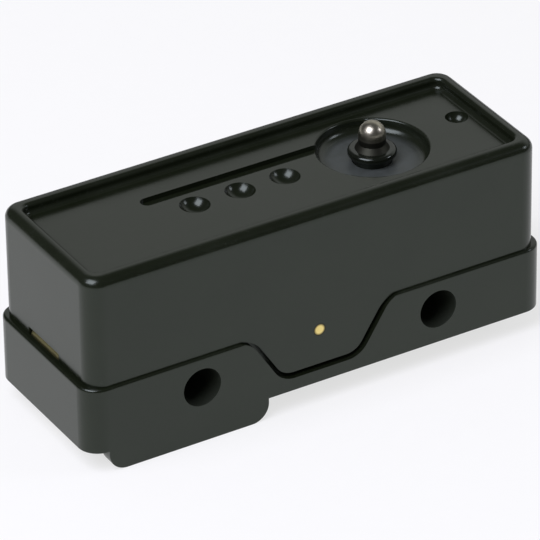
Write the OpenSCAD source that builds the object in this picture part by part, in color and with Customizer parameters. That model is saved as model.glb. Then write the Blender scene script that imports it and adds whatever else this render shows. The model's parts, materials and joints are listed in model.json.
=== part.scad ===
// Snap-action switch with a pin plunger, in a two-part moulded case that a cross pin holds together.
// Millimetres. X runs along the case, Y from its front to its back, Z up from its lowest face.

/* [Base] */
// Length of the base
case_l = 49.2; // [46:0.1:56]
// Width of the base
case_w = 17.45; // [16.5:0.05:22]
// Height of the base at its two ears, up to the parting line
base_h = 6.75; // [6.4:0.05:9]
// Radius of the base's upright corners
base_corner_r = 2.05; // [1.2:0.05:2.6]
// Radius along the top edge of the ears
base_edge_r = 0.3; // [0.1:0.05:0.5]

/* [Terminal skirt] */
// Drop of the skirt round the common terminal below the base's underside
skirt_drop = 2.25; // [2:0.05:4]
// Distance of the skirt from where the base's left corners end
skirt_inset = 0.05; // [0.05:0.05:1]
// Length of the skirt
skirt_l = 16.8; // [14:0.1:19]
// Radius of the skirt's lower corners
skirt_corner_r = 1.8; // [0.5:0.1:3]
// Thickness of the skirt's front and back walls
skirt_wall = 1.4; // [1:0.05:2.4]
// Room inside the skirt past the common terminal's tab
skirt_room = 1.1; // [0.5:0.1:2]

/* [Mounting holes] */
// Distance between the two mounting holes
hole_pitch = 25.4; // [24:0.1:27]
// Diameter of the mounting holes
hole_d = 3.9; // [3:0.05:4.4]
// Height of the hole centres above the base's underside
hole_h = 3.6; // [3.2:0.05:4]

/* [Cover] */
// Height of the cover above the parting line
cover_h = 11.25; // [10.9:0.05:14]
// Set-back of the cover from the base along the two long sides
ledge_side = 0.33; // [0.2:0.01:0.8]
// Set-back of the cover from the base at the two ends
ledge_end = 0.6; // [0.4:0.01:0.9]
// Thickness of the cover's walls
wall = 1.7; // [1.3:0.05:1.9]
// Thickness of the cover's top under the panel
top_t = 2.9; // [2.6:0.05:3.2]
// Radius of the cover's upright corners
cover_corner_r = 1.8; // [1.3:0.05:2.4]
// Radius along the cover's top edge
cover_edge_r = 1; // [0.4:0.05:1.1]

/* [Tongues] */
// Height of the tongues' lower edge above the base's underside
tongue_low = 1.75; // [1.4:0.05:2]
// Half the width of a tongue at its middle height
tongue_half = 5.55; // [5:0.05:5.8]
// Slope of the tongues' sides in degrees
tongue_slope = 57.5; // [55:0.5:66]
// Radius of the tongues' lower corners
tongue_r = 2; // [1:0.05:2.2]
// Radius where the tongues' sides flare out into the cover
flare_r = 2.95; // [2:0.05:3.2]
// Open line left between the tongues' edges and the base
tongue_gap = 0.45; // [0.1:0.05:0.5]
// Clearance between the tongues' inner faces and the base
tongue_clear = 0.08; // [0.04:0.01:0.15]
// Diameter of the cross pin through the tongues
cross_pin_d = 1.2; // [0.9:0.05:1.5]
// Height of the cross pin above the base's underside
cross_pin_h = 5.4; // [5.2:0.05:5.8]

/* [Top panel] */
// Width of the rim along the two long sides
rim_side = 1.6; // [1.2:0.05:2.2]
// Width of the rim along the two ends
rim_end = 1.5; // [1.2:0.05:2.2]
// Depth of the panel below the rim
panel_depth = 1.05; // [0.6:0.05:1.4]
// Radius of the panel's corners
panel_corner_r = 0.9; // [0.7:0.05:1.4]
// Radius along the rim's inner edge
rim_edge_r = 0.4; // [0.2:0.05:0.45]
// Radius in the corner between the rim and the panel
panel_cove_r = 0.5; // [0.2:0.05:0.5]
// Distance of the plunger and the blade behind the case's middle plane
line_y = 0.45; // [0:0.05:0.6]
// Distance of the three pits behind the case's middle plane
pit_y = 0.2; // [-0.5:0.05:0.5]
// Diameter of the three pits in a row
pit_d = 2.9; // [2:0.05:3.2]
// Depth of the pits
pit_depth = 0.9; // [0.5:0.05:1.2]
// Distance between the three pits
pit_pitch = 4.8; // [3.8:0.1:5]
// Distance of the first pit from the left end of the base
pit_start = 16.6; // [14:0.1:17]
// Diameter of the single pit at the right end
end_pit_d = 2.2; // [1.6:0.05:2.6]
// Distance of the single pit from the right end of the base
end_pit_reach = 3.75; // [3.6:0.05:5]
// Distance of the single pit behind the case's middle plane
end_pit_y = 1; // [0:0.05:1.2]
// Width of the groove behind the pits
groove_w = 1.4; // [0.6:0.05:1.5]
// Depth of the groove
groove_depth = 0.5; // [0.3:0.05:0.8]
// Distance of the groove behind the case's middle plane
groove_y = 2.95; // [2.8:0.05:3.4]
// Distance of the groove's end from the left end of the base
groove_start = 13.2; // [8:0.1:14]

/* [Plunger] */
// Distance of the plunger from the right mounting hole, towards the middle
plunger_offset = 1.5; // [1:0.1:2.5]
// Height of the plunger's tip above the rim, when free
plunger_free = 1.7; // [1.5:0.05:2.2]
// Full travel of the plunger
plunger_travel = 0.55; // [0.4:0.05:0.6]
// Diameter of the round recess that the plunger stands in
recess_d = 10.6; // [9:0.1:11]
// Depth of that recess below the panel
recess_depth = 1.3; // [1.1:0.05:2.1]
// Radius round the recess's edge
recess_edge_r = 0.25; // [0.15:0.05:0.4]
// Radius round the recess's foot
recess_cove_r = 0.9; // [0.4:0.05:1.5]
// Diameter of the moulded stem
stem_d = 3.7; // [3.2:0.05:4]
// Radial running clearance of the stem in the cover
stem_clear = 0.05; // [0.02:0.01:0.09]
// Outer diameter of the guide
guide_d = 7.6; // [6.6:0.1:9]
// Diameter of the stem's foot, which stops it under the guide
foot_d = 5.4; // [4.8:0.1:6]
// Thickness of the foot
foot_t = 0.9; // [0.6:0.05:1]
// Height of the foot above the crown of the blade's bowed legs
foot_room = 0.2; // [0.1:0.05:0.3]
// Diameter of the nose that bears on the blade
nose_d = 2.6; // [2:0.1:2.8]
// Diameter of the collar over the stem
collar_d = 4.65; // [4.2:0.05:5]
// Thickness of the collar
collar_t = 0.65; // [0.5:0.05:0.9]
// Radius along the collar's top edge
collar_edge_r = 0.35; // [0.15:0.05:0.4]
// Height of the collar's underside above the recess
collar_gap = 0.65; // [0.63:0.01:0.8]
// Diameter of the steel tip
tip_d = 2.6; // [2.4:0.05:2.9]
// Diameter of the tip's shoulder on the collar
shoulder_d = 3.3; // [3.1:0.05:3.8]
// Height of the tip's tapered shoulder
shoulder_h = 0.55; // [0.3:0.05:0.7]
// Diameter of the tip's shank in the stem
shank_d = 1.6; // [1.2:0.05:2]
// Length of the tip's shank below the collar
shank_l = 3.4; // [2:0.1:3.6]

/* [Terminals] */
// Thickness of the brass terminal strips
strip_t = 0.7; // [0.5:0.05:0.9]
// Width of the strips
strip_w = 5.4; // [5.2:0.1:6]
// Inner radius of the strips' folds
fold_r = 0.25; // [0.15:0.05:0.4]
// Clearance round the strips where they pass through the base
strip_clear = 0.1; // [0.05:0.01:0.15]
// Wall of the base outside the common terminal's leg
com_wall = 0.75; // [0.7:0.05:1]
// Distance from a terminal's leg to its screw
screw_reach = 4.4; // [4.3:0.05:4.8]
// Length of a terminal's tab past its screw's head
tab_margin = 0.4; // [0.2:0.05:0.6]
// Distance of the normally open terminal's leg from the right mounting hole
no_leg_reach = 5.6; // [5:0.05:6]
// Gap between the normally closed terminal's leg and the cover's end wall
nc_wall_gap = 0.4; // [0.2:0.05:0.5]

/* [Terminal screws] */
// Diameter of the screws' thread
screw_d = 3.5; // [3:0.1:3.6]
// Diameter of the screws' heads
head_d = 6.6; // [6:0.1:7]
// Thickness of the split washers under the heads
washer_t = 0.5; // [0.3:0.05:0.7]
// Outer diameter of the split washers
washer_d = 6.2; // [5.6:0.1:6.6]
// Radial clearance of the screws in the washers, strips and base
screw_clear = 0.1; // [0.05:0.01:0.15]
// Length of thread above the base's underside
screw_l = 4; // [3:0.1:4.2]
// Width of the screwdriver slots
slot_w = 0.9; // [0.6:0.05:1.2]
// Depth of the screwdriver slots
slot_depth = 0.8; // [0.5:0.05:1]

/* [Snap blade] */
// Thickness of the blade
blade_t = 0.25; // [0.2:0.01:0.3]
// Width of the blade
blade_w = 8.4; // [7.8:0.1:9]
// Width of the blade's middle tongue
tongue_w = 3.2; // [3:0.05:3.4]
// Width of the slits beside the middle tongue
slit_w = 0.5; // [0.4:0.05:0.6]
// Rise of the two bowed outer legs
leg_rise = 1.3; // [0.9:0.05:1.5]
// Distance from the common terminal's leg to the blade's rivet
rivet_reach = 7.85; // [7.4:0.05:8.4]
// Distance from the rivet to the posts that the outer legs bear on
post_reach = 10.3; // [9.8:0.1:11]
// Depth by which the outer legs' ends sit in the posts' notches
leg_seat = 0.4; // [0.3:0.05:0.5]
// Distance from the contacts' edge to where the outer legs join the tongue
leg_join = 1.6; // [1.2:0.1:2]
// Diameter of the blade's rivet
rivet_d = 2; // [1.6:0.1:2.2]
// Clearance over the blade's root, where the blade rocks on its seat
root_clear = 0.1; // [0.09:0.01:0.14]

/* [Contacts] */
// Diameter of the contacts
contact_d = 3.2; // [2.8:0.1:3.4]
// Height of a contact's face above the metal that carries it
contact_h = 0.5; // [0.4:0.05:0.6]
// Diameter of the contacts' shanks
contact_pin_d = 1.6; // [1.2:0.05:1.8]
// Distance of the contacts from the normally closed terminal's leg
contact_reach = 2.5; // [2.4:0.05:2.8]
// Gap left between contacts that touch
contact_rest = 0.03; // [0.02:0.01:0.05]
// Height of the pad under the lower contact
pad_h = 0.1; // [0.05:0.05:0.4]

/* [Hidden] */
$fn = 64;
lap = 1;
fit = 0.03;
ear_lift = 0.03;

base_z = skirt_drop;
deck_z = base_z + base_h;
top_z = deck_z + cover_h;
panel_z = top_z - panel_depth;
recess_z = panel_z - recess_depth;
ceiling_z = panel_z - top_t;
hole_z = base_z + hole_h;
pin_z = base_z + cross_pin_h;

left_end = -case_l / 2;
right_end = case_l / 2;
hole_x = hole_pitch / 2;
cover_l = case_l - 2 * ledge_end;
cover_w = case_w - 2 * ledge_side;
cavity_l = cover_l - 2 * wall;
cavity_w = cover_w - 2 * wall;
cavity_corner_r = 0.5;

// Rounds that can only be as large as the walls they are on allow
base_round = min(base_edge_r, ledge_side - fit, ledge_end - fit);
rim_round = min(rim_edge_r, min(rim_side, rim_end) - cover_edge_r - fit);
panel_cove = min(panel_cove_r, panel_depth - rim_round - fit, panel_corner_r - fit);
recess_cove = min(recess_cove_r, recess_depth - recess_edge_r - fit);

// The plunger's stack, from its tip down to its nose on the blade
plunger_x = hole_x - plunger_offset;
tip_z = top_z + plunger_free;
collar_z = recess_z + collar_gap;
collar_top_z = collar_z + collar_t;
stop_gap = 0.1;

// The terminals, from left to right
com_leg_x = left_end + com_wall;
com_screw_x = com_leg_x + screw_reach;
no_leg_x = hole_x - no_leg_reach;
no_screw_x = no_leg_x + strip_t - screw_reach;
nc_leg_x = right_end - ledge_end - wall - nc_wall_gap - strip_t;
nc_screw_x = nc_leg_x + strip_t - screw_reach;
tab_end = head_d / 2 + tab_margin;
pocket_end_x = com_screw_x + tab_end + skirt_room;
strip_top_z = deck_z + strip_t;

// The blade rocks on the right edge of its seat; at full travel its contact has come down to the lower one
anchor_t = strip_t;
rivet_x = com_leg_x + rivet_reach;
seat_l = 2 * rivet_d;
pivot_x = rivet_x + seat_l / 2;
post_x = rivet_x + post_reach;
contact_x = nc_leg_x - contact_reach;
contact_drop = plunger_travel * (contact_x - pivot_x) / (plunger_x - pivot_x);
no_face_z = strip_top_z + pad_h + contact_h;
blade_z = no_face_z + 2 * contact_rest + contact_drop + contact_h;
blade_top_z = blade_z + blade_t;
blade_end_x = contact_x + contact_d / 2 + 0.3;
leg_end_x = contact_x - contact_d / 2 - leg_join;
nc_face_z = blade_top_z + contact_h + contact_rest;
nc_arm_z = nc_face_z + contact_h;
nose_gap = 0.05;
nose_z = blade_top_z + nose_gap;
foot_z = blade_top_z + leg_rise + foot_room;
guide_z = foot_z + foot_t + stop_gap;

// Section through a wall whose outer edge is rounded at its top and at its foot
module band_profile(w, h, top_r, low_r) {
  difference() {
    square([w, h]);
    if (top_r > 0)
      translate([w - top_r, h - top_r])
        difference() {
          square(top_r + lap);
          circle(r = top_r);
        }
    if (low_r > 0)
      translate([w - low_r, low_r])
        rotate(-90)
          difference() {
            square(low_r + lap);
            circle(r = low_r);
          }
  }
}

// Section of a sunk well from its middle: its edge rounded over at the top and its foot coved
module well_profile(w, depth, edge_r, cove_r) {
  band_profile(w, depth + lap, 0, cove_r);
  translate([0, depth - edge_r])
    difference() {
      square([w + edge_r, edge_r + lap]);
      translate([w + edge_r, 0])
        circle(r = edge_r);
    }
}

// Block with rounded upright corners, standing on Z = 0, with an edge section swept all round it
module swept_block(l, w, h, corner_r) {
  inner_l = l - 2 * corner_r;
  inner_w = w - 2 * corner_r;
  translate([-inner_l / 2, -inner_w / 2, 0])
    cube([inner_l, inner_w, h]);
  for (turn = [0, 180])
    rotate(turn) {
      translate([-inner_l / 2, inner_w / 2, 0])
        rotate([90, 0, 90])
          linear_extrude(inner_l)
            children();
      translate([inner_l / 2, inner_w / 2, 0])
        rotate([90, 0, 0])
          linear_extrude(inner_w)
            children();
      translate([inner_l / 2, inner_w / 2, 0])
        rotate_extrude(angle = 90)
          children();
      translate([-inner_l / 2, inner_w / 2, 0])
        rotate(90)
          rotate_extrude(angle = 90)
            children();
    }
}

// Block with rounded upright corners and a rounded top edge, standing on Z = 0
module soft_block(l, w, h, corner_r, top_r) {
  swept_block(l, w, h, corner_r)
    band_profile(corner_r, h, top_r, 0);
}

// Plain prism with rounded upright corners, standing on Z = 0
module round_prism(l, w, h, r) {
  linear_extrude(h) {
    square([l - 2 * r, w], center = true);
    square([l, w - 2 * r], center = true);
    for (x = [-1, 1], y = [-1, 1])
      translate([x * (l / 2 - r), y * (w / 2 - r)])
        circle(r = r);
  }
}

// Stretches an outline drawn in X and Z from one Y to another
module across(y0, y1) {
  translate([0, y1, 0])
    rotate([90, 0, 0])
      linear_extrude(y1 - y0)
        children();
}

// Round bar along Y
module cross_bar(x, z, d, y0, y1) {
  translate([x, y0, z])
    rotate([-90, 0, 0])
      cylinder(d = d, h = y1 - y0);
}

// Turned button with its outer edge rounded at the top and at the foot
module button(d, h, top_r, low_r) {
  rotate_extrude()
    band_profile(d / 2, h, top_r, low_r);
}

// Outline of a tongue above the base's underside; grow widens it into the notch that takes it
module tongue_profile(grow) {
  low = tongue_low - grow;
  lean = 1 / tan(tongue_slope);
  half_low = tongue_half - (base_h - tongue_low) / 2 * lean + (low - tongue_low) * lean
    + grow / sin(tongue_slope);
  half_top = half_low + (base_h - low) * lean;
  low_r = tongue_r + grow;
  low_t = low_r * tan(tongue_slope / 2);
  ear_r = flare_r - grow;
  ear_t = ear_r * tan(tongue_slope / 2);
  ear_x = half_top + ear_t + ear_lift * lean;
  ear_z = base_h - ear_r + ear_lift;
  for (side = [0, 1])
    mirror([side, 0]) {
      difference() {
        polygon([
          [0, low],
          [half_low - low_t, low],
          [half_low + low_t * cos(tongue_slope), low + low_t * sin(tongue_slope)],
          [ear_x - ear_r * sin(tongue_slope), ear_z + ear_r * cos(tongue_slope)],
          [ear_x, ear_z],
          [ear_x, base_h + lap],
          [0, base_h + lap]
        ]);
        translate([ear_x, ear_z])
          circle(r = ear_r);
      }
      translate([half_low - low_t, low + low_r])
        circle(r = low_r);
    }
}

// Skirt below the base, as wide as the base, with its lower corners rounded
module skirt() {
  r = min(skirt_corner_r, skirt_drop - fit);
  translate([left_end + base_corner_r + skirt_inset, 0, 0])
    across(-case_w / 2, case_w / 2) {
      translate([r, 0])
        square([skirt_l - 2 * r, skirt_drop]);
      translate([0, r])
        square([skirt_l, skirt_drop - r]);
      for (x = [r, skirt_l - r])
        translate([x, r])
          circle(r = r);
    }
}

// Room in the base for a terminal's tab and leg; way is +1 where the tab runs to the right of the leg
module terminal_seat(leg_x, way, screw_x) {
  low = min(leg_x, screw_x - tab_end) - strip_clear;
  high = max(leg_x + strip_t, screw_x + tab_end) + strip_clear;
  seat_w = strip_w + 2 * strip_clear;
  translate([low, line_y - seat_w / 2, base_z - lap])
    cube([high - low, seat_w, lap + strip_t]);
  translate([leg_x - strip_clear, line_y - seat_w / 2, base_z])
    cube([strip_t + 2 * strip_clear, seat_w, base_h + lap]);
  translate([leg_x + strip_t / 2, line_y - seat_w / 2, base_z + strip_t])
    fold_room(way, seat_w);
  translate([screw_x, line_y, base_z])
    cylinder(d = screw_d + 2 * screw_clear, h = screw_l + 2 * screw_clear);
}

// Bevel in the base inside a terminal's lower fold
module fold_room(way, seat_w) {
  reach = strip_t / 2 + fold_r + strip_clear;
  translate([0, seat_w, 0])
    rotate([90, 0, 0])
      linear_extrude(seat_w)
        polygon([[0, -lap / 4], [way * reach, -lap / 4], [way * reach, 0], [0, reach]]);
}

// Lower moulding: two ears with the mounting holes, a notch on each side for the cover's tongues,
// and a skirt round the common terminal
module base() {
  color("#262925")
    difference() {
      union() {
        translate([0, 0, base_z])
          soft_block(case_l, case_w, base_h, base_corner_r, base_round);
        skirt();
      }
      for (side = [-1, 1])
        translate([0, side * (cover_w / 2 - wall - tongue_clear), base_z])
          mirror([0, side < 0 ? 1 : 0, 0])
            across(0, wall + tongue_clear + ledge_side + lap)
              tongue_profile(tongue_gap);
      for (x = [-hole_x, hole_x])
        cross_bar(x, hole_z, hole_d, -case_w, case_w);
      cross_bar(0, pin_z, cross_pin_d + 2 * fit, -case_w, case_w);
      translate([left_end - lap, skirt_wall - case_w / 2, -lap])
        cube([pocket_end_x - left_end + lap, case_w - 2 * skirt_wall, base_z + lap]);
      terminal_seat(com_leg_x, 1, com_screw_x);
      terminal_seat(no_leg_x, -1, no_screw_x);
      terminal_seat(nc_leg_x, -1, nc_screw_x);
      translate([rivet_x, line_y, deck_z - contact_h])
        cylinder(d = rivet_d + 2 * contact_h + 2 * fit, h = contact_h + lap);
    }
}

// Upper moulding: a hollow cover with a rimmed panel on top, tongues down its two sides,
// and the plunger's guide inside
module cover() {
  color("#232622")
    difference() {
      union() {
        difference() {
          union() {
            translate([0, 0, deck_z])
              soft_block(cover_l, cover_w, cover_h, cover_corner_r, cover_edge_r);
            for (side = [-1, 1])
              translate([0, side * (cover_w / 2 - wall), base_z])
                mirror([0, side < 0 ? 1 : 0, 0])
                  across(0, wall)
                    tongue_profile(0);
          }
          translate([0, 0, deck_z - lap])
            round_prism(cavity_l, cavity_w, ceiling_z - deck_z + lap, cavity_corner_r);
        }
        translate([plunger_x, line_y, guide_z])
          cylinder(d = guide_d, h = panel_z - guide_z - top_t / 2);
        nc_rib();
      }
      translate([0, 0, panel_z])
        swept_block(cover_l - 2 * rim_end, cover_w - 2 * rim_side, panel_depth + lap, panel_corner_r)
          well_profile(panel_corner_r, panel_depth, rim_round, panel_cove);
      panel_marks();
      translate([plunger_x, line_y, recess_z])
        rotate_extrude()
          well_profile(recess_d / 2, recess_depth, recess_edge_r, recess_cove);
      translate([plunger_x, line_y, guide_z - lap])
        cylinder(d = stem_d + 2 * stem_clear, h = recess_z - guide_z + 2 * lap);
      cross_bar(0, pin_z, cross_pin_d + 2 * fit, -case_w, case_w);
      com_window();
    }
}

// Rib inside the cover that holds the normally closed arm down
module nc_rib() {
  low = nc_arm_z + strip_t + strip_clear;
  translate([contact_x + contact_d / 2, line_y - strip_w / 2, low])
    cube([contact_reach - contact_d / 2, strip_w, panel_z - top_t / 2 - low]);
}

// Pits and groove in the panel
module panel_marks() {
  for (i = [0:2])
    translate([left_end + pit_start + i * pit_pitch, pit_y, panel_z])
      pit(pit_d);
  translate([right_end - end_pit_reach, end_pit_y, panel_z])
    pit(end_pit_d);
  groove_l = plunger_x - recess_d / 4 - left_end - groove_start;
  translate([left_end + groove_start, groove_y, panel_z - groove_depth]) {
    translate([0, -groove_w / 2, 0])
      cube([groove_l, groove_w, groove_depth + lap]);
    cylinder(d = groove_w, h = groove_depth + lap);
  }
}

// Bowl-shaped pit that breaks the surface at Z = 0
module pit(d) {
  bowl_r = (d * d / 4 + pit_depth * pit_depth) / (2 * pit_depth);
  translate([0, 0, bowl_r - pit_depth])
    sphere(r = bowl_r);
}

// Slot at the foot of the cover's left end, where the common terminal folds down into the base
module com_window() {
  translate([left_end - lap, line_y - strip_w / 2 - strip_clear, deck_z - lap])
    cube([ledge_end + wall + 2 * lap, strip_w + 2 * strip_clear, strip_t + strip_clear + lap]);
}

// Brass pin through both tongues and the base
module cross_pin() {
  color("#b8923f")
    cross_bar(0, pin_z, cross_pin_d, -cover_w / 2, cover_w / 2);
}

// Moulded stem: a nose on the blade, a foot that stops it under the guide, and a long shaft
module plunger_stem() {
  color("#1b1c1b")
    translate([plunger_x, line_y, 0])
      difference() {
        union() {
          translate([0, 0, nose_z])
            button(nose_d, foot_z - nose_z + foot_t / 2, 0, nose_d / 6);
          translate([0, 0, foot_z])
            button(foot_d, foot_t, 0, foot_t / 3);
          translate([0, 0, foot_z])
            cylinder(d = stem_d, h = collar_z - foot_z);
        }
        translate([0, 0, collar_z - shank_l - fit])
          cylinder(d = shank_d + 2 * fit, h = shank_l + lap);
      }
}

// Drip collar on top of the stem, held there by the steel tip
module plunger_collar() {
  color("#1b1c1b")
    translate([plunger_x, line_y, collar_z])
      difference() {
        button(collar_d, collar_t, collar_edge_r, collar_edge_r / 2);
        translate([0, 0, -lap])
          cylinder(d = shank_d + 2 * fit, h = collar_t + 2 * lap);
      }
}

// Turned steel tip with a domed end, a tapered shoulder on the collar and a shank in the stem
module plunger_tip() {
  dome_z = tip_z - tip_d / 2;
  foot = collar_z - shank_l;
  color("#b9bab6")
    translate([plunger_x, line_y, 0])
      rotate_extrude() {
        polygon([
          [0, foot],
          [shank_d / 2, foot],
          [shank_d / 2, collar_top_z],
          [shoulder_d / 2, collar_top_z],
          [tip_d / 2, collar_top_z + shoulder_h],
          [tip_d / 2, dome_z],
          [0, dome_z]
        ]);
        translate([0, dome_z])
          intersection() {
            circle(d = tip_d);
            square(tip_d);
          }
      }
}

// Outline of a strip folded at the foot and at the top of its leg; a way is +1 for a run to the right
module strip_profile(leg_x, tab_way, tab_l, top_way, top_l, top) {
  difference() {
    union() {
      translate([leg_x, base_z])
        square([strip_t, top - base_z]);
      at_fold(leg_x, tab_way, base_z, 1)
        strip_run(tab_l);
      at_fold(leg_x, top_way, top, -1)
        strip_run(top_l);
    }
    at_fold(leg_x, tab_way, base_z, 1)
      fold_corner();
    at_fold(leg_x, top_way, top, -1)
      fold_corner();
  }
}

// Places an outline in a fold's corner, with X along the run and Y along the leg
module at_fold(leg_x, way, z, up) {
  translate([leg_x + (way > 0 ? 0 : strip_t), z])
    mirror([way > 0 ? 0 : 1, 0])
      mirror([0, up > 0 ? 0 : 1])
        children();
}

// One horizontal run of a strip, with the round inside its fold
module strip_run(l) {
  square([l, strip_t]);
  translate([strip_t / 2, strip_t / 2])
    difference() {
      square(strip_t / 2 + fold_r);
      translate([strip_t / 2 + fold_r, strip_t / 2 + fold_r])
        circle(r = fold_r);
    }
}

// What the fold's outer round leaves out of its corner
module fold_corner() {
  outer_r = fold_r + strip_t;
  difference() {
    translate([-lap, -lap])
      square(outer_r + lap);
    translate([outer_r, outer_r])
      circle(r = outer_r);
  }
}

// Common terminal: tab and screw under the skirt, leg in the left end, long run on the deck
module com_terminal() {
  color("#b08d3e")
    difference() {
      across(line_y - strip_w / 2, line_y + strip_w / 2)
        strip_profile(com_leg_x, 1, com_screw_x + tab_end - com_leg_x, 1, post_x - com_leg_x, strip_top_z);
      tap_hole(com_screw_x);
      translate([rivet_x, line_y, deck_z - lap])
        cylinder(d = rivet_d + 2 * fit, h = strip_t + 2 * lap);
    }
}

// Normally open terminal: its run on the deck carries a pad for the lower contact
module no_terminal() {
  run = contact_x + contact_d / 2 - no_leg_x;
  color("#b08d3e")
    difference() {
      union() {
        across(line_y - strip_w / 2, line_y + strip_w / 2)
          strip_profile(no_leg_x, -1, no_leg_x + strip_t - no_screw_x + tab_end, 1, run, strip_top_z);
        translate([contact_x, line_y, strip_top_z - strip_t / 2])
          cylinder(d = contact_d, h = pad_h + strip_t / 2);
      }
      tap_hole(no_screw_x);
      translate([contact_x, line_y, deck_z - lap])
        cylinder(d = contact_pin_d + 2 * fit, h = base_h);
    }
}

// Normally closed terminal: its leg climbs the right end and its arm reaches over the blade
module nc_terminal() {
  run = nc_leg_x + strip_t - contact_x + contact_d / 2;
  color("#b08d3e")
    difference() {
      across(line_y - strip_w / 2, line_y + strip_w / 2)
        strip_profile(nc_leg_x, -1, nc_leg_x + strip_t - nc_screw_x + tab_end, -1, run, nc_arm_z + strip_t);
      tap_hole(nc_screw_x);
      translate([contact_x, line_y, nc_arm_z - lap])
        cylinder(d = contact_pin_d + 2 * fit, h = strip_t + 2 * lap);
    }
}

// Hole for a terminal screw in its tab
module tap_hole(x) {
  translate([x, line_y, base_z - lap])
    cylinder(d = screw_d + 2 * screw_clear, h = strip_t + 2 * lap);
}

// Slotted pan-head screw that stands on its head, with the thread upwards
module terminal_screw(x) {
  head_h = skirt_drop - washer_t;
  color("#c9c6bb")
    translate([x, line_y, 0])
      difference() {
        union() {
          button(head_d, head_h, 0, head_h / 3);
          cylinder(d = screw_d, h = base_z + screw_l);
        }
        translate([-head_d / 2 - lap, -slot_w / 2, -lap])
          cube([head_d + 2 * lap, slot_w, slot_depth + lap]);
      }
}

// Split spring washer between a screw's head and its tab
module terminal_washer(x) {
  split = washer_t * 0.8;
  color("#c2bfb4")
    translate([x, line_y, base_z - washer_t])
      difference() {
        cylinder(d = washer_d, h = washer_t);
        translate([0, 0, -lap])
          cylinder(d = screw_d + 2 * screw_clear, h = washer_t + 2 * lap);
        rotate(25)
          translate([0, -split / 2, -lap])
            cube([washer_d, split, washer_t + 2 * lap]);
      }
}

module com_screw() {
  terminal_screw(com_screw_x);
}

module no_screw() {
  terminal_screw(no_screw_x);
}

module nc_screw() {
  terminal_screw(nc_screw_x);
}

module com_washer() {
  terminal_washer(com_screw_x);
}

module no_washer() {
  terminal_washer(no_screw_x);
}

module nc_washer() {
  terminal_washer(nc_screw_x);
}

// Brass anchor on the common strip: a raised seat for the blade and two notched posts
module blade_anchor() {
  plate_start = rivet_x - seat_l / 2;
  notch = 1;
  post_t = 1.4;
  post_h = blade_z + blade_t / 2 - strip_top_z + notch + post_t / 3;
  color("#a9873c")
    difference() {
      union() {
        translate([plate_start, line_y - blade_w / 2, strip_top_z])
          cube([post_x - plate_start, blade_w, anchor_t]);
        translate([plate_start, line_y - tongue_w / 2, strip_top_z])
          cube([seat_l, tongue_w, blade_z - strip_top_z]);
        for (side = [-1, 1])
          translate([post_x - post_t, line_y + side * (blade_w - leg_w()) / 2 - leg_w() / 2, strip_top_z])
            cube([post_t, leg_w(), post_h]);
      }
      across(line_y - blade_w, line_y + blade_w)
        translate([post_x, blade_z + blade_t / 2])
          polygon([[-notch, 0], [lap, -notch - lap], [lap, notch + lap]]);
      translate([rivet_x, line_y, strip_top_z - lap])
        cylinder(d = rivet_d + 2 * fit, h = blade_z);
    }
}

// Rivet through the blade's root, the anchor and the common strip
module blade_rivet() {
  color("#b08d3e")
    translate([rivet_x, line_y, 0]) {
      translate([0, 0, blade_top_z + root_clear])
        button(1.7 * rivet_d, contact_h, contact_h / 2, 0);
      translate([0, 0, deck_z - contact_h])
        cylinder(d = rivet_d, h = blade_top_z + root_clear + contact_h / 2 - deck_z + contact_h);
      translate([0, 0, deck_z - contact_h])
        cylinder(d = rivet_d + 2 * contact_h, h = contact_h);
    }
}

// Width of each of the blade's outer legs
function leg_w() = (blade_w - tongue_w) / 2 - slit_w;

// Spring blade: a flat middle tongue from the rivet to the contact, between two bowed legs
module snap_blade() {
  leg_start_x = post_x - leg_seat;
  half = (leg_end_x + blade_t - leg_start_x) / 2;
  bow_r = (half * half + leg_rise * leg_rise) / (2 * leg_rise);
  color("#c08a4a")
    difference() {
      union() {
        translate([rivet_x - seat_l / 2, line_y - tongue_w / 2, blade_z])
          cube([blade_end_x - rivet_x + seat_l / 2, tongue_w, blade_t]);
        translate([leg_end_x, line_y - blade_w / 2, blade_z])
          cube([blade_end_x - leg_end_x, blade_w, blade_t]);
        for (side = [-1, 1])
          translate([0, line_y + side * (blade_w - leg_w()) / 2, 0])
            across(-leg_w() / 2, leg_w() / 2)
              intersection() {
                translate([leg_start_x + half, blade_z + leg_rise - bow_r])
                  difference() {
                    circle(r = bow_r + blade_t);
                    circle(r = bow_r);
                  }
                translate([leg_start_x, blade_z])
                  square([2 * half, 2 * leg_rise]);
              }
      }
      translate([rivet_x, line_y, blade_z - lap])
        cylinder(d = rivet_d + 4 * root_clear, h = blade_t + 2 * lap);
      translate([contact_x, line_y, blade_z - lap])
        cylinder(d = contact_pin_d + 2 * fit, h = blade_t + 2 * lap);
    }
}

// Silver contact: a button with its face rounded at the rim, on a shank through what carries it
module contact_face(flip) {
  mirror([0, 0, flip])
    button(contact_d, contact_h, contact_h / 2, 0);
}

// Two-faced contact on the blade
module moving_contact() {
  color("#cfd0cc")
    translate([contact_x, line_y, 0]) {
      translate([0, 0, blade_top_z])
        contact_face(0);
      translate([0, 0, blade_z])
        contact_face(1);
      translate([0, 0, blade_z - contact_h / 2])
        cylinder(d = contact_pin_d, h = blade_t + contact_h);
    }
}

// Lower contact, on the normally open strip's pad
module no_contact() {
  color("#cfd0cc")
    translate([contact_x, line_y, 0]) {
      translate([0, 0, no_face_z - contact_h])
        contact_face(0);
      translate([0, 0, deck_z])
        cylinder(d = contact_pin_d, h = no_face_z - contact_h / 2 - deck_z);
    }
}

// Upper contact, under the normally closed arm
module nc_contact() {
  color("#cfd0cc")
    translate([contact_x, line_y, 0]) {
      translate([0, 0, nc_arm_z])
        contact_face(1);
      translate([0, 0, nc_arm_z - contact_h / 2])
        cylinder(d = contact_pin_d, h = strip_t + contact_h / 2);
    }
}

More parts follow.
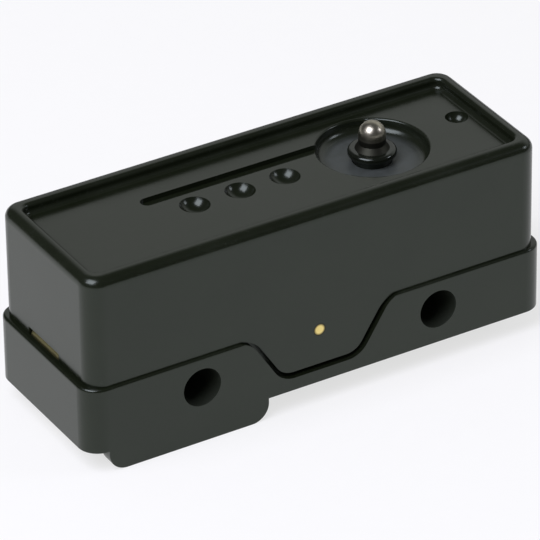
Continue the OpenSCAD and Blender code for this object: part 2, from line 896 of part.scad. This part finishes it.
base();
cover();
cross_pin();
plunger_stem();
plunger_collar();
plunger_tip();
com_terminal();
no_terminal();
nc_terminal();
com_screw();
no_screw();
nc_screw();
com_washer();
no_washer();
nc_washer();
blade_anchor();
blade_rivet();
snap_blade();
moving_contact();
no_contact();
nc_contact();
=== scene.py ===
import json
import math

import bpy
from mathutils import Matrix, Vector


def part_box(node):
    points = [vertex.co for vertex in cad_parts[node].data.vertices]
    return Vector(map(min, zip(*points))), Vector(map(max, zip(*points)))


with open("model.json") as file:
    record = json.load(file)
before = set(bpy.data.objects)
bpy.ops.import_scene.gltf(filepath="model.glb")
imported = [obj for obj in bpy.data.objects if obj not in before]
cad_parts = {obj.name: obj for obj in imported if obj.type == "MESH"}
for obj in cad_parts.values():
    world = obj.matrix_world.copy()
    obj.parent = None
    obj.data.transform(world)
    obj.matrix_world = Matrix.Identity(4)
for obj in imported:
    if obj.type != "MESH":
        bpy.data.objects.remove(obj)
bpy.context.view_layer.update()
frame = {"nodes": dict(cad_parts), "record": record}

# Case mouldings.
# The base and the cover are pressed from black phenolic resin, a hard and brittle plastic with
# a wood-flour filler. The tools were polished, so the skin is glossy, with faint flow marks.

PHENOLIC_BLACK = "#13170D"
PHENOLIC_FLOW = "#181C12"
PHENOLIC_SPECK = "#2B2F28"
PHENOLIC_SHINE = "#F3FFF4"
PHENOLIC_IOR = 1.47
PHENOLIC_GLOSS = (0.2, 0.27)
FLOW_MM = 7
FLOW_RANGE = (0.35, 0.75)
SPECK_MM = 0.35
SPECK_RANGE = (0.62, 0.78)
SPECK_MOST = 0.35
PEEL_MM = 0.5
# Most of a noise texture's values lie in this range
NOISE_RANGE = (0.3, 0.7)

MOUNTS = {mount["name"]: mount for mount in frame["record"]["mounts"]}
BORES = [mount for mount in MOUNTS.values() if mount["kind"] == "bore"]
# The holes' walls are painted a little lighter than the resin, a painted light standing in for the haze of
# light in them
BORE_PAINTED_LIGHT = "#1A1E14"
BORE_MATT = 0.7
# Metres past the wall of a hole at which its painted light starts to fade and has gone
BORE_EDGE = (0.00001, 0.00003)

# The recess floor's pale colour is a painted light, standing in for the light that the floor reflects
RECESS_PAINTED_LIGHT = "#414543"
RECESS_MATT = 0.5
RECESS_RADIUS = 0.0053
# Metres inside that radius at which the painted light starts to fade and has gone
RECESS_EDGE = (0.0014, 0.0004)
# The recess's floor lies 4.05 mm below the top of the plunger, and the painted light reaches no deeper than
# this
RECESS_REACH = 0.0045
CLOUD_MM = 1
CLOUD_RANGE = (0.35, 0.65)
CLOUD_LEAST = 0.75

# Directions across an axis that runs along Y or along Z
ACROSS_Y = (1, 0, 1)
ACROSS_Z = (1, 1, 0)


def linear(colour):
    """Turns an sRGB hex colour into the linear RGBA that a shader takes."""
    channels = [int(colour[i:i + 2], 16) / 255 for i in (1, 3, 5)]
    return [c / 12.92 if c <= 0.04045 else ((c + 0.055) / 1.055) ** 2.4 for c in channels] + [1.0]


def add_node(tree, kind, settings=None, **inputs):
    """Adds a node, sets its properties, and fills its inputs with values or links.

    An input goes by its name with underscores for spaces, or as i and its number, such as i0.
    """
    made = tree.nodes.new(kind)
    for name, value in (settings or {}).items():
        setattr(made, name, value)
    for name, value in inputs.items():
        socket = made.inputs[int(name[1:])] if name[1:].isdigit() else made.inputs[name.replace("_", " ")]
        if isinstance(value, bpy.types.NodeSocket):
            tree.links.new(value, socket)
        else:
            socket.default_value = value
    return made


def new_material(name):
    """A material with only its shader, and the Object coordinates that its patterns follow."""
    material = bpy.data.materials.new(name)
    material.use_nodes = True
    tree = material.node_tree
    tree.nodes.clear()
    shader = add_node(tree, "ShaderNodeBsdfPrincipled")
    add_node(tree, "ShaderNodeOutputMaterial", Surface=shader.outputs["BSDF"])
    place = add_node(tree, "ShaderNodeTexCoord").outputs["Object"]
    return material, tree, shader, place


def per_metre(millimetres):
    """Scale of a noise texture whose marks are about this many millimetres across."""
    return 1000 / millimetres


def from_axis(tree, place, centre, across):
    """How far a place lies from an axis through the centre; across has 1 for the directions off it."""
    offset = add_node(tree, "ShaderNodeVectorMath", {"operation": "SUBTRACT"}, i0=place, i1=centre)
    flat = add_node(
        tree, "ShaderNodeVectorMath", {"operation": "MULTIPLY"}, i0=offset.outputs["Vector"], i1=across)
    distance = add_node(tree, "ShaderNodeVectorMath", {"operation": "LENGTH"}, i0=flat.outputs["Vector"])
    return distance.outputs["Value"]


def covered(tree, share, under, over):
    """A colour and a roughness that go over to a second pair as the share goes from nought to one."""
    colour = add_node(tree, "ShaderNodeMix", {"data_type": "RGBA"}, i0=share, i6=under[0], i7=over[0])
    roughness = add_node(tree, "ShaderNodeMix", {"data_type": "FLOAT"}, i0=share, i2=under[1], i3=over[1])
    return colour.outputs[2], roughness.outputs[0]


def set_surface(tree, shader, surface):
    """Links a colour and a roughness to the shader."""
    tree.links.new(surface[0], shader.inputs["Base Color"])
    tree.links.new(surface[1], shader.inputs["Roughness"])


def dress(material, *pieces):
    """Gives these pieces one material."""
    for name in pieces:
        mesh = frame["nodes"][name].data
        mesh.materials.clear()
        mesh.materials.append(material)


phenolic, tree, shader, place = new_material("black_phenolic_moulding")
shader.inputs["IOR"].default_value = PHENOLIC_IOR
# The resin's own dark green shows a little in what it reflects
shader.inputs["Specular Tint"].default_value = linear(PHENOLIC_SHINE)
# Flow marks: cloudy streaks about 7 mm across, hardly lighter than the resin and a little duller
flow = add_node(
    tree, "ShaderNodeTexNoise", Vector=place, Scale=per_metre(FLOW_MM), Detail=4.0, Roughness=0.55)
flow_share = add_node(
    tree, "ShaderNodeMapRange", Value=flow.outputs["Fac"], From_Min=FLOW_RANGE[0], From_Max=FLOW_RANGE[1])
clouded = add_node(
    tree, "ShaderNodeMix", {"data_type": "RGBA"},
    i0=flow_share.outputs["Result"], i6=linear(PHENOLIC_BLACK), i7=linear(PHENOLIC_FLOW))
gloss = add_node(
    tree, "ShaderNodeMapRange", Value=flow.outputs["Fac"],
    From_Min=NOISE_RANGE[0], From_Max=NOISE_RANGE[1], To_Min=PHENOLIC_GLOSS[0], To_Max=PHENOLIC_GLOSS[1])
# Filler: wood-flour specks about 0.15 mm across, drawn at 0.35 mm so that they show
speck = add_node(tree, "ShaderNodeTexNoise", Vector=place, Scale=per_metre(SPECK_MM), Detail=2.0)
speck_share = add_node(
    tree, "ShaderNodeMapRange", Value=speck.outputs["Fac"],
    From_Min=SPECK_RANGE[0], From_Max=SPECK_RANGE[1], To_Max=SPECK_MOST)
speckled = add_node(
    tree, "ShaderNodeMix", {"data_type": "RGBA"},
    i0=speck_share.outputs["Result"], i6=clouded.outputs[2], i7=linear(PHENOLIC_SPECK))
surface = (speckled.outputs[2], gloss.outputs["Result"])
# Mounting holes: their walls are left matt, and painted a little lighter than the resin, a painted light
# that stands in for the haze of light in them
for bore in BORES:
    bore_radius = bore["dims"]["r_mm"] / 1000
    in_bore = add_node(
        tree, "ShaderNodeMapRange", Value=from_axis(tree, place, bore["pos_m"], ACROSS_Y),
        From_Min=bore_radius + BORE_EDGE[0], From_Max=bore_radius + BORE_EDGE[1], To_Min=1.0, To_Max=0.0)
    surface = covered(tree, in_bore.outputs["Result"], surface, (linear(BORE_PAINTED_LIGHT), BORE_MATT))
# Round recess: its floor is painted pale and made matt, up to where the wall starts to rise. The pale colour
# is a painted light, standing in for the light that the floor reflects
plunger_spot = MOUNTS["plunger_end"]["pos_m"]
in_recess = add_node(
    tree, "ShaderNodeMapRange", Value=from_axis(tree, place, plunger_spot, ACROSS_Z),
    From_Min=RECESS_RADIUS - RECESS_EDGE[0], From_Max=RECESS_RADIUS - RECESS_EDGE[1], To_Min=1.0, To_Max=0.0)
height = add_node(tree, "ShaderNodeSeparateXYZ", Vector=place)
on_top = add_node(
    tree, "ShaderNodeMath", {"operation": "GREATER_THAN"},
    i0=height.outputs["Z"], i1=plunger_spot[2] - RECESS_REACH)
on_floor = add_node(
    tree, "ShaderNodeMath", {"operation": "MULTIPLY"},
    i0=in_recess.outputs["Result"], i1=on_top.outputs["Value"])
# Patches in the painted light: clouds about 1 mm across, from three quarters of it to all of it
cloud = add_node(tree, "ShaderNodeTexNoise", Vector=place, Scale=per_metre(CLOUD_MM), Detail=3.0)
cloud_share = add_node(
    tree, "ShaderNodeMapRange", Value=cloud.outputs["Fac"],
    From_Min=CLOUD_RANGE[0], From_Max=CLOUD_RANGE[1], To_Min=CLOUD_LEAST)
painted_light_share = add_node(
    tree, "ShaderNodeMath", {"operation": "MULTIPLY"},
    i0=on_floor.outputs["Value"], i1=cloud_share.outputs["Result"])
surface = covered(tree, painted_light_share.outputs["Value"], surface, (linear(RECESS_PAINTED_LIGHT), RECESS_MATT))
set_surface(tree, shader, surface)
# Skin: a fine orange peel about 0.5 mm across and a few micrometres deep
peel = add_node(tree, "ShaderNodeTexNoise", Vector=place, Scale=per_metre(PEEL_MM), Detail=2.0)
skin = add_node(tree, "ShaderNodeBump", Height=peel.outputs["Fac"], Strength=0.05, Distance=0.0001)
tree.links.new(skin.outputs["Normal"], shader.inputs["Normal"])
dress(phenolic, "base", "cover")

# Terminals, anchor and rivet.
# The terminals and the blade's anchor are stamped from half-hard brass sheet, and the rivet is headed
# from brass wire. None is plated, so the brass has gone dull and olive with age.

BRASS = "#A8A275"
BRASS_AGED = "#857F58"
BRASS_GLOSS = (0.38, 0.55)
TARNISH_MM = 1.5


def mottled(tree, marks, colours, gloss):
    """A colour and a roughness that the marks vary, each between two values."""
    colour = add_node(
        tree, "ShaderNodeMix", {"data_type": "RGBA"}, i0=marks, i6=linear(colours[0]), i7=linear(colours[1]))
    roughness = add_node(
        tree, "ShaderNodeMapRange", Value=marks,
        From_Min=NOISE_RANGE[0], From_Max=NOISE_RANGE[1], To_Min=gloss[0], To_Max=gloss[1])
    return colour.outputs[2], roughness.outputs["Result"]


brass, tree, shader, place = new_material("aged_stamped_brass")
shader.inputs["Metallic"].default_value = 1.0
# Tarnish: blotches about 1.5 mm across
tarnish = add_node(tree, "ShaderNodeTexNoise", Vector=place, Scale=per_metre(TARNISH_MM), Detail=4.0)
set_surface(tree, shader, mottled(tree, tarnish.outputs["Fac"], (BRASS, BRASS_AGED), BRASS_GLOSS))
dress(brass, "com_terminal", "no_terminal", "nc_terminal", "blade_anchor", "blade_rivet")

# Terminal screws and washers.
# Slotted pan-head screws and split spring washers of steel, barrel-plated with nickel, which is bright
# with dull spots.

NICKEL = "#B4B1A6"
NICKEL_DULL = "#8E8B80"
NICKEL_GLOSS = (0.22, 0.38)
BARREL_MM = 0.6

nickel, tree, shader, place = new_material("nickel_plated_steel")
shader.inputs["Metallic"].default_value = 1.0
# Barrel marks: dull spots about 0.6 mm across
dull = add_node(tree, "ShaderNodeTexNoise", Vector=place, Scale=per_metre(BARREL_MM), Detail=3.0)
set_surface(tree, shader, mottled(tree, dull.outputs["Fac"], (NICKEL, NICKEL_DULL), NICKEL_GLOSS))
dress(nickel, "com_screw", "no_screw", "nc_screw", "com_washer", "no_washer", "nc_washer")

# Contacts.
# Silver rivets, headed into the two fixed terminals and the end of the blade, and faintly yellowed in
# patches.

SILVER = "#D2D1CB"
SILVER_YELLOWED = "#A79C80"
SILVER_GLOSS = (0.2, 0.35)
FILM_MM = 0.7

silver, tree, shader, place = new_material("headed_silver")
shader.inputs["Metallic"].default_value = 1.0
# Sulphide film: patches about 0.7 mm across
film = add_node(tree, "ShaderNodeTexNoise", Vector=place, Scale=per_metre(FILM_MM), Detail=3.0)
set_surface(tree, shader, mottled(tree, film.outputs["Fac"], (SILVER, SILVER_YELLOWED), SILVER_GLOSS))
dress(silver, "moving_contact", "no_contact", "nc_contact")

# Snap blade.
# One strip of rolled beryllium copper, pierced, bowed and age-hardened, with a brown heat tint.

COPPER_ALLOY = "#B27B4C"
COPPER_TINT = "#875431"
COPPER_GLOSS = (0.25, 0.4)
STREAK_MM = 0.3
STREAK_STRETCH = 20

spring_copper, tree, shader, place = new_material("rolled_beryllium_copper")
shader.inputs["Metallic"].default_value = 1.0
# Rolling marks: streaks about 0.3 mm wide and 6 mm long, along the blade
along = add_node(tree, "ShaderNodeMapping", Vector=place, Scale=(1 / STREAK_STRETCH, 1, 1))
streak = add_node(
    tree, "ShaderNodeTexNoise", Vector=along.outputs["Vector"], Scale=per_metre(STREAK_MM), Detail=2.0)
set_surface(tree, shader, mottled(tree, streak.outputs["Fac"], (COPPER_ALLOY, COPPER_TINT), COPPER_GLOSS))
dress(spring_copper, "snap_blade")

# Plunger.
# The stem and its drip collar are moulded from black acetal, a little shinier than the case. The tip is
# turned from stainless steel and pressed in, its dome polished to a satin, and its shoulder matt and painted
# dark as a painted shade.

ACETAL_BLACK = "#0B0D09"
ACETAL_WORN = "#171A13"
ACETAL_IOR = 1.48
ACETAL_GLOSS = (0.12, 0.2)
WORN_MM = 1.2
TIP_STEEL = "#BEBAAA"
TIP_STAIN = "#9A9684"
TIP_GLOSS = (0.28, 0.38)
STAIN_MM = 0.8
# The shoulder's dark colour is a painted shade
SHOULDER_PAINTED_SHADE = "#3E3F37"
SHOULDER_MATT = 0.5
# Metres below the top of the dome at which its polish starts to fade and has gone, and the painted shade of
# the shoulder takes over
POLISH_AND_SHADE_EDGE = (0.0015, 0.0017)
RING_MM = 0.2
# A wave texture of scale 1 has this many bands in each unit of length
BANDS_PER_UNIT = 20 / (2 * math.pi)

acetal, tree, shader, place = new_material("black_acetal_moulding")
shader.inputs["IOR"].default_value = ACETAL_IOR
shader.inputs["Specular Tint"].default_value = linear(PHENOLIC_SHINE)
# Handling marks: soft patches about 1.2 mm across
worn = add_node(tree, "ShaderNodeTexNoise", Vector=place, Scale=per_metre(WORN_MM), Detail=3.0)
set_surface(tree, shader, mottled(tree, worn.outputs["Fac"], (ACETAL_BLACK, ACETAL_WORN), ACETAL_GLOSS))
dress(acetal, "plunger_stem", "plunger_collar")

turned_steel, tree, shader, place = new_material("turned_stainless_steel")
shader.inputs["Metallic"].default_value = 1.0
# Stain: dull patches about 0.8 mm across
stain = add_node(tree, "ShaderNodeTexNoise", Vector=place, Scale=per_metre(STAIN_MM), Detail=3.0)
dome = mottled(tree, stain.outputs["Fac"], (TIP_STEEL, TIP_STAIN), TIP_GLOSS)
# Polish: it covers the dome alone; below it the shoulder is painted dark, a painted shade where it would
# show reflections
tip_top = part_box("plunger_tip")[1][2]
height = add_node(tree, "ShaderNodeSeparateXYZ", Vector=place)
dome_share = add_node(
    tree, "ShaderNodeMapRange", Value=height.outputs["Z"],
    From_Min=tip_top - POLISH_AND_SHADE_EDGE[1], From_Max=tip_top - POLISH_AND_SHADE_EDGE[0])
shoulder = (linear(SHOULDER_PAINTED_SHADE), SHOULDER_MATT)
set_surface(tree, shader, covered(tree, dome_share.outputs["Result"], shoulder, dome))
# Tool marks: rings about 0.08 mm apart up the tip, drawn 0.2 mm apart, and faint under the polish
rings = add_node(
    tree, "ShaderNodeTexWave", {"wave_type": "BANDS", "bands_direction": "Z"},
    Vector=place, Scale=per_metre(RING_MM) / BANDS_PER_UNIT, Distortion=0.4)
ringed = add_node(tree, "ShaderNodeBump", Height=rings.outputs["Fac"], Strength=0.015, Distance=0.00002)
tree.links.new(ringed.outputs["Normal"], shader.inputs["Normal"])
dress(turned_steel, "plunger_tip")

# Cross pin.
# It is cut from drawn brass wire and pressed through both tongues of the cover and the base. The
# middle of each end is left bright, and its edge is painted dark, a painted shade as on a rounded edge.

WIRE_BRASS = "#EFDB92"
WIRE_SHADE = "#DEC77A"
# The dark colour round the edge of each end is a painted shade
WIRE_PAINTED_SHADE = "#4A4636"
WIRE_GLOSS = (0.25, 0.4)
SAW_MM = 0.1
SAW_STRETCH = 10
# Shares of the pin's radius at which the bright middle ends and the painted shade is full
PIN_SHADE_EDGE = (0.6, 0.95)

drawn_brass, tree, shader, place = new_material("drawn_brass_wire")
shader.inputs["Metallic"].default_value = 1.0
# Saw marks: fine lines about 0.1 mm apart across the end
across = add_node(tree, "ShaderNodeMapping", Vector=place, Scale=(1 / SAW_STRETCH, 1, 1))
saw = add_node(
    tree, "ShaderNodeTexNoise", Vector=across.outputs["Vector"], Scale=per_metre(SAW_MM), Detail=2.0)
sawn, saw_gloss = mottled(tree, saw.outputs["Fac"], (WIRE_BRASS, WIRE_SHADE), WIRE_GLOSS)
# Painted shade: each end is darkened round its edge, as a rounded edge would be shaded
pin_low, pin_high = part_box("cross_pin")
pin_centre = [(low + high) / 2 for low, high in zip(pin_low, pin_high)]
pin_radius = (pin_high[0] - pin_low[0]) / 2
rim = add_node(
    tree, "ShaderNodeMapRange", Value=from_axis(tree, place, pin_centre, ACROSS_Y),
    From_Min=PIN_SHADE_EDGE[0] * pin_radius, From_Max=PIN_SHADE_EDGE[1] * pin_radius)
rimmed = add_node(
    tree, "ShaderNodeMix", {"data_type": "RGBA"},
    i0=rim.outputs["Result"], i6=sawn, i7=linear(WIRE_PAINTED_SHADE))
set_surface(tree, shader, (rimmed.outputs[2], saw_gloss))
dress(drawn_brass, "cross_pin")

# Floor.
# Matt white card. Most of what the camera and the mirrored rays see of it is plain white, and the rest
# is the lit card, which keeps a pale shadow under the switch.

FLOOR_SIZE = 3.0
FLOOR_GAP = 0.00002
CARD_WHITE = "#F4F4F2"
CARD_FIBRE = "#F8F8F7"
CARD_MATT = 0.9
FIBRE_MM = 2
PLAIN_WHITE_SHARE = 0.7
WHITE = (1, 1, 1, 1)


def seen_rays(tree):
    """One for a ray from the camera or a mirrored or refracted one, and nought for any other."""
    ray = add_node(tree, "ShaderNodeLightPath")
    mirrored = add_node(
        tree, "ShaderNodeMath", {"operation": "MAXIMUM"},
        i0=ray.outputs["Is Glossy Ray"], i1=ray.outputs["Is Transmission Ray"])
    either = add_node(
        tree, "ShaderNodeMath", {"operation": "MAXIMUM"},
        i0=ray.outputs["Is Camera Ray"], i1=mirrored.outputs["Value"])
    return either.outputs["Value"]


bpy.ops.object.select_all(action="DESELECT")
bpy.ops.mesh.primitive_plane_add(size=FLOOR_SIZE, location=(0, 0, -FLOOR_GAP))
floor = bpy.context.object
floor.name = "floor"
card, tree, shader, place = new_material("white_card")
shader.inputs["Roughness"].default_value = CARD_MATT
# Fibres: faint patches about 2 mm across
fibre = add_node(tree, "ShaderNodeTexNoise", Vector=place, Scale=per_metre(FIBRE_MM), Detail=3.0)
fibre_colour = add_node(
    tree, "ShaderNodeMix", {"data_type": "RGBA"},
    i0=fibre.outputs["Fac"], i6=linear(CARD_WHITE), i7=linear(CARD_FIBRE))
tree.links.new(fibre_colour.outputs[2], shader.inputs["Base Color"])
white = add_node(tree, "ShaderNodeEmission", Color=WHITE, Strength=1.0)
white_share = add_node(
    tree, "ShaderNodeMath", {"operation": "MULTIPLY"}, i0=seen_rays(tree), i1=PLAIN_WHITE_SHARE)
whitened = add_node(
    tree, "ShaderNodeMixShader",
    i0=white_share.outputs["Value"], i1=shader.outputs["BSDF"], i2=white.outputs["Emission"])
tree.links.new(whitened.outputs["Shader"], tree.nodes["Material Output"].inputs["Surface"])
floor.data.materials.append(card)

# Studio light.
# A soft box above at the left, a small white reflector at the front right, and a pale grey sweep behind,
# which fades in above the floor and out again overhead. The rest of the room is dark.

LAMP_AIM = Vector((0, 0, 0.01))
LAMP_DISTANCE = 0.6
LAMP_COLOUR = "#EFEEFF"
SOFT_BOX_WAY = (-0.54, -0.16, 0.82)
SOFT_BOX_SIZE = 0.42
SOFT_BOX_POWER = 4.0
REFLECTOR_WAY = (0.73, -0.44, 0.53)
REFLECTOR_SIZE = 0.14
REFLECTOR_POWER = 0.4
ROOM_LEVEL = 0.25
DARK_ROOM = (0.06, 0.06, 0.06, 1)
SWEEP_GREY = (0.7, 0.7, 0.7, 1)
SWEEP_SIDE = (0.8, 0.6, 0)
# Sines of the heights between which the sweep fades in, about 6 to 20 degrees, and out, 37 to 72 degrees
SWEEP_FOOT = (0.1, 0.35)
SWEEP_HEAD = (0.6, 0.95)
# Cosines of the angles from the middle of its side between which it fades in
SWEEP_TURN = (0.4, 0.8)


def add_lamp(name, way, size, power):
    """An area lamp that way from the switch, facing it."""
    lamp = bpy.data.lights.new(name, "AREA")
    lamp.size = size
    lamp.energy = power
    lamp.color = linear(LAMP_COLOUR)[:3]
    holder = bpy.data.objects.new(name, lamp)
    holder.location = LAMP_AIM + Vector(way).normalized() * LAMP_DISTANCE
    holder.rotation_mode = "QUATERNION"
    holder.rotation_quaternion = (LAMP_AIM - holder.location).to_track_quat("-Z", "Y")
    bpy.context.scene.collection.objects.link(holder)


add_lamp("soft_box", SOFT_BOX_WAY, SOFT_BOX_SIZE, SOFT_BOX_POWER)
add_lamp("white_reflector", REFLECTOR_WAY, REFLECTOR_SIZE, REFLECTOR_POWER)

world = bpy.data.worlds.new("studio")
bpy.context.scene.world = world
world.use_nodes = True
tree = world.node_tree
tree.nodes.clear()
way = add_node(tree, "ShaderNodeTexCoord").outputs["Generated"]
rise = add_node(tree, "ShaderNodeSeparateXYZ", Vector=way)
foot = add_node(
    tree, "ShaderNodeMapRange", {"interpolation_type": "SMOOTHSTEP"},
    Value=rise.outputs["Z"], From_Min=SWEEP_FOOT[0], From_Max=SWEEP_FOOT[1])
head = add_node(
    tree, "ShaderNodeMapRange", {"interpolation_type": "SMOOTHSTEP"},
    Value=rise.outputs["Z"], From_Min=SWEEP_HEAD[0], From_Max=SWEEP_HEAD[1], To_Min=1.0, To_Max=0.0)
band = add_node(
    tree, "ShaderNodeMath", {"operation": "MULTIPLY"}, i0=foot.outputs["Result"], i1=head.outputs["Result"])
behind = add_node(tree, "ShaderNodeVectorMath", {"operation": "DOT_PRODUCT"}, i0=way, i1=SWEEP_SIDE)
far = add_node(
    tree, "ShaderNodeMapRange", {"interpolation_type": "SMOOTHSTEP"},
    Value=behind.outputs["Value"], From_Min=SWEEP_TURN[0], From_Max=SWEEP_TURN[1])
sweep_share = add_node(
    tree, "ShaderNodeMath", {"operation": "MULTIPLY"}, i0=band.outputs["Value"], i1=far.outputs["Result"])
sweep = add_node(
    tree, "ShaderNodeMix", {"data_type": "RGBA"},
    i0=sweep_share.outputs["Value"], i6=DARK_ROOM, i7=SWEEP_GREY)
room = add_node(tree, "ShaderNodeBackground", Color=WHITE, Strength=ROOM_LEVEL)
backdrop = add_node(tree, "ShaderNodeBackground", Color=sweep.outputs[2], Strength=1.0)
seen = add_node(
    tree, "ShaderNodeMixShader",
    i0=seen_rays(tree), i1=room.outputs["Background"], i2=backdrop.outputs["Background"])
add_node(tree, "ShaderNodeOutputWorld", Surface=seen.outputs["Shader"])

# Camera.
# A long lens from the front left, about half a metre away and looking down, as the photo was taken.

LENS = 363.0
CAMERA_TURN = math.radians(30.499)
CAMERA_RISE = math.radians(31.532)
CAMERA_ROLL = math.radians(0.815)
CAMERA_REACH = 0.504007
VIEW_CENTRE = Vector((0, 0, 0.01225))
# Metres left and down that the middle of the view lies from that centre, as in the photo
VIEW_SLIP = (0.000190, 0.002173)

back = Vector((
    -math.sin(CAMERA_TURN) * math.cos(CAMERA_RISE),
    -math.cos(CAMERA_TURN) * math.cos(CAMERA_RISE),
    math.sin(CAMERA_RISE)))
level = Vector((math.cos(CAMERA_TURN), -math.sin(CAMERA_TURN), 0))
upright = back.cross(level)
right = math.cos(CAMERA_ROLL) * level - math.sin(CAMERA_ROLL) * upright
up = math.cos(CAMERA_ROLL) * upright + math.sin(CAMERA_ROLL) * level
spot = VIEW_CENTRE - VIEW_SLIP[0] * right - VIEW_SLIP[1] * up + CAMERA_REACH * back
lens = bpy.data.cameras.new("camera")
lens.lens = LENS
camera = bpy.data.objects.new("camera", lens)
camera.matrix_world = Matrix((
    (right.x, up.x, back.x, spot.x),
    (right.y, up.y, back.y, spot.y),
    (right.z, up.z, back.z, spot.z),
    (0, 0, 0, 1)))
bpy.context.scene.collection.objects.link(camera)
bpy.context.scene.camera = camera
bpy.context.scene.view_settings.view_transform = "Standard"
